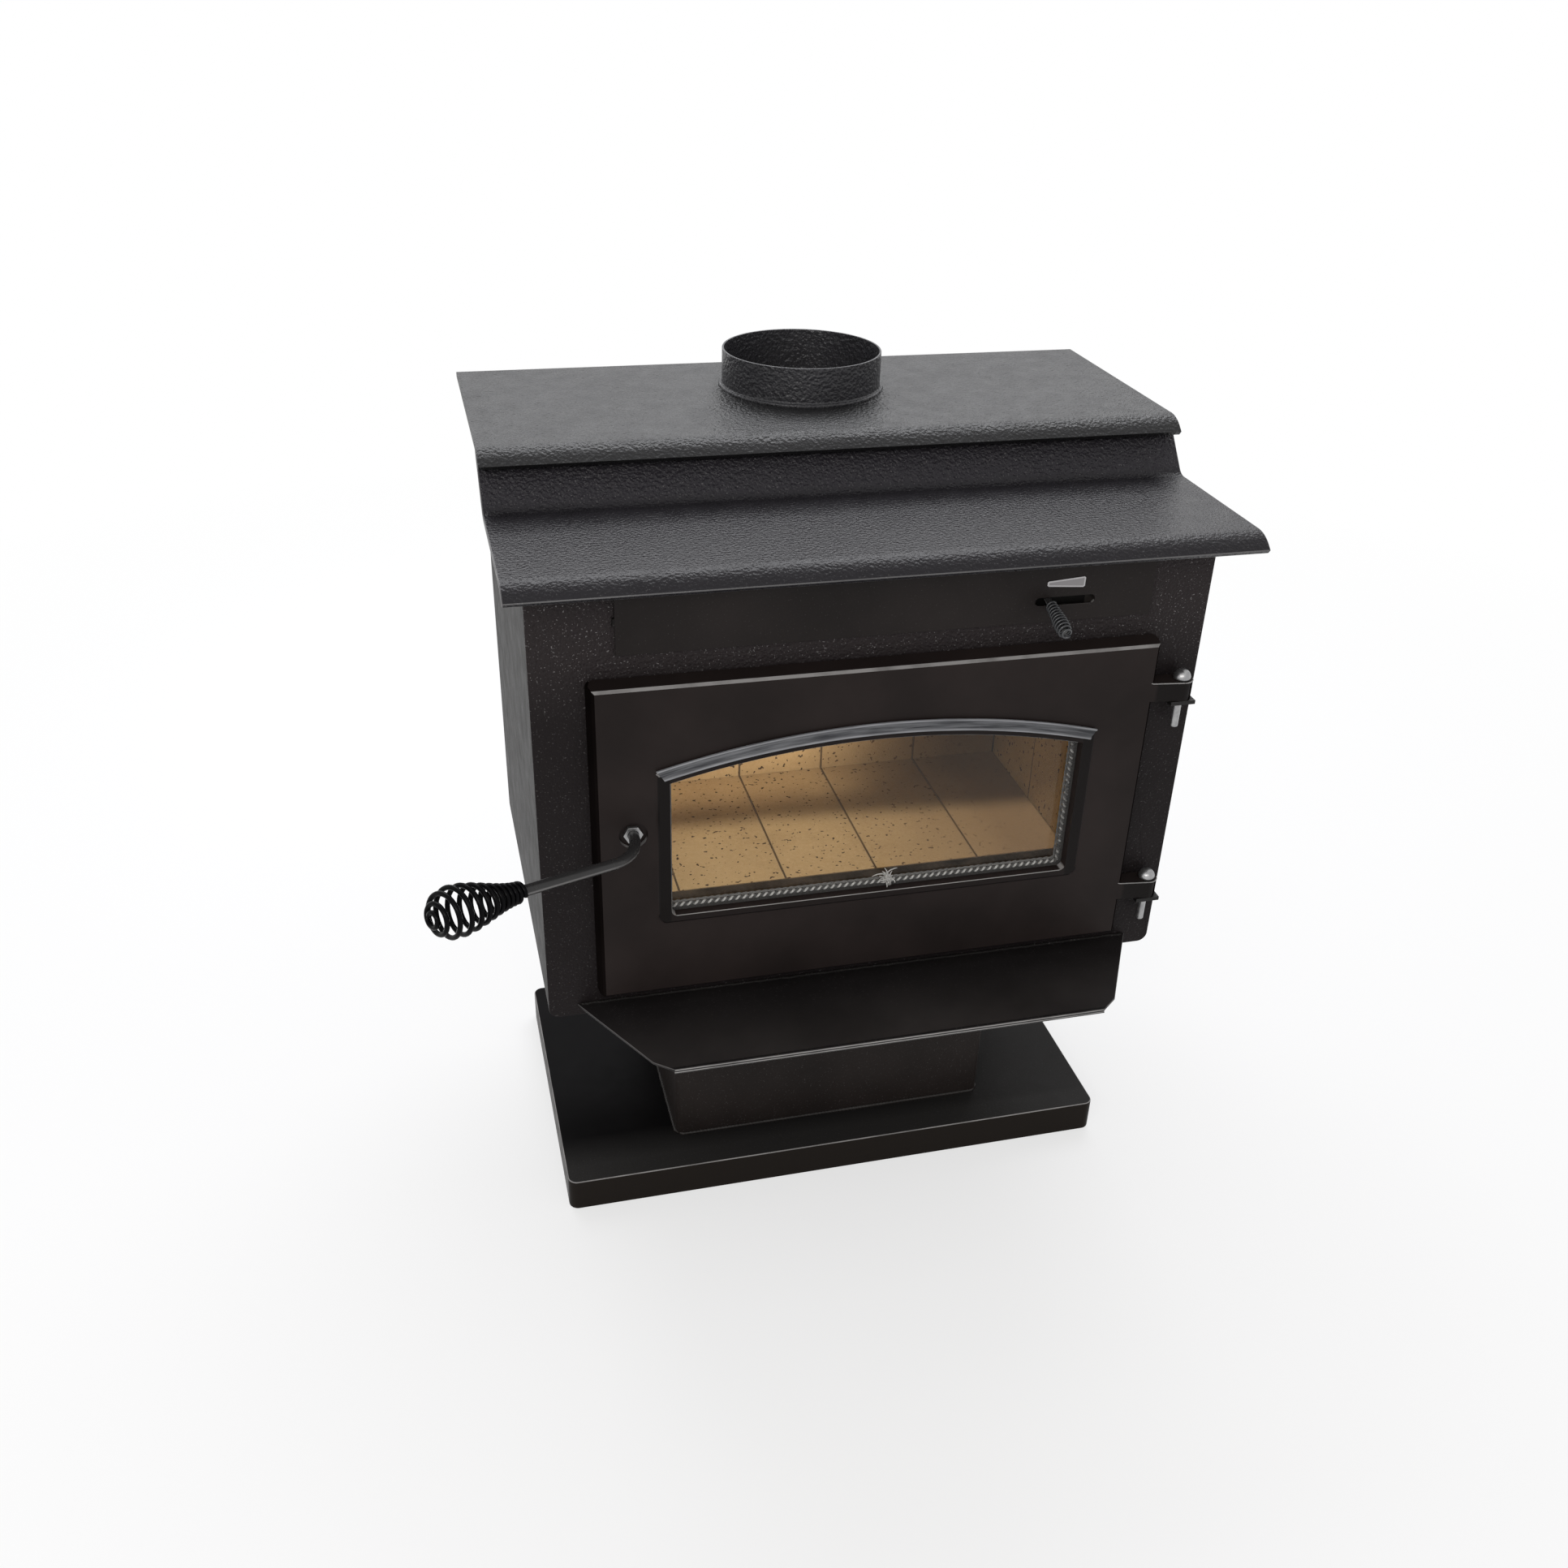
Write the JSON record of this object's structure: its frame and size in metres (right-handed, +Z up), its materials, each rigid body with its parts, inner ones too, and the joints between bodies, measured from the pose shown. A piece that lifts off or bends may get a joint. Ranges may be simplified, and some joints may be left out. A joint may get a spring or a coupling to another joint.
{
  "type": "wood burning stove",
  "caption": "Pedestal wood stove with a stepped top, flue collar, arched-window door, coil-grip lever latch, sliding air control, ash lip, firebrick lining and tube baffle.",
  "frame": {"origin": "centre of the floor base's underside, on the floor", "axes": "+X to the right as seen from in front, +Y from the door towards the back, +Z up"},
  "size_m": [0.745, 0.604, 0.8295],
  "materials": {
    "body_paint": "matte black high-temperature paint with a fine grain",
    "cover_paint": "matte black high-temperature paint, smooth",
    "door_paint": "satin black high-temperature paint over a cast face",
    "moulding_paint": "worn dark grey paint with bright edges",
    "handle_steel": "semi-gloss black",
    "coil_wire": "gloss black",
    "bare_steel": "dark mill scale, dull",
    "stainless": "satin stainless steel",
    "zinc": "bright zinc plating",
    "scale_foil": "satin silver",
    "firebrick": "rough, cream to tan with dark specks",
    "fibre_board": "matte, pale",
    "fibre_blanket": "soft white fibre",
    "glass_rope": "braided grey-white glass fibre",
    "glass": "clear ceramic glass with a faint brown tint"
  },
  "bodies": {
    "stove": {"base_plate": "body_paint", "pedestal_column": "body_paint", "firebox_shell": "body_paint", "front_plate": "body_paint", "back_plate": "body_paint", "step_plate": "body_paint", "top_plate": "body_paint", "flue_collar": "body_paint", "ash_lip": "body_paint", "hinge_brackets": "body_paint", "hinge_bolts": "zinc", "latch_keeper": "bare_steel", "air_channel_cover": "cover_paint", "air_scale_plate": "scale_foil", "airwash_channel": "bare_steel", "air_manifold": "bare_steel", "air_tubes": "stainless", "tube_pins": "zinc", "rear_air_duct": "body_paint", "baffle_boards": "fibre_board", "baffle_blanket": "fibre_blanket", "hearth_ledge": "bare_steel", "floor_bricks": "firebrick", "back_bricks": "firebrick", "left_bricks": "firebrick", "right_bricks": "firebrick"},
    "door": {"door_casting": "door_paint", "arch_moulding": "moulding_paint", "door_glass": "glass", "glass_gasket": "glass_rope", "door_gasket": "glass_rope", "glass_clips": "zinc", "clip_screws": "zinc"},
    "handle": {"handle_rod": "handle_steel", "handle_coil": "coil_wire", "recess_nut": "zinc", "latch_cam": "bare_steel", "latch_nut": "zinc"},
    "air_control": {"air_slide": "bare_steel", "control_rod": "handle_steel", "control_coil": "coil_wire"}
  },
  "joints": [
    {"name": "door_swing", "type": "hinge", "parent": "stove", "child": "door", "pos_m": [0.2904, -0.2145, 0.476], "axis": [0, 0, 1], "range_deg": [0, 115]},
    {"name": "handle_turn", "type": "hinge", "parent": "door", "child": "handle", "pos_m": [-0.2283, -0.2203, 0.4905], "axis": [0, 1, 0], "range_deg": [-70, 0]},
    {"name": "air_slide", "type": "slide", "parent": "stove", "child": "air_control", "axis": [1, 0, 0], "range_m": [-0.007, 0.038]}
  ]
}
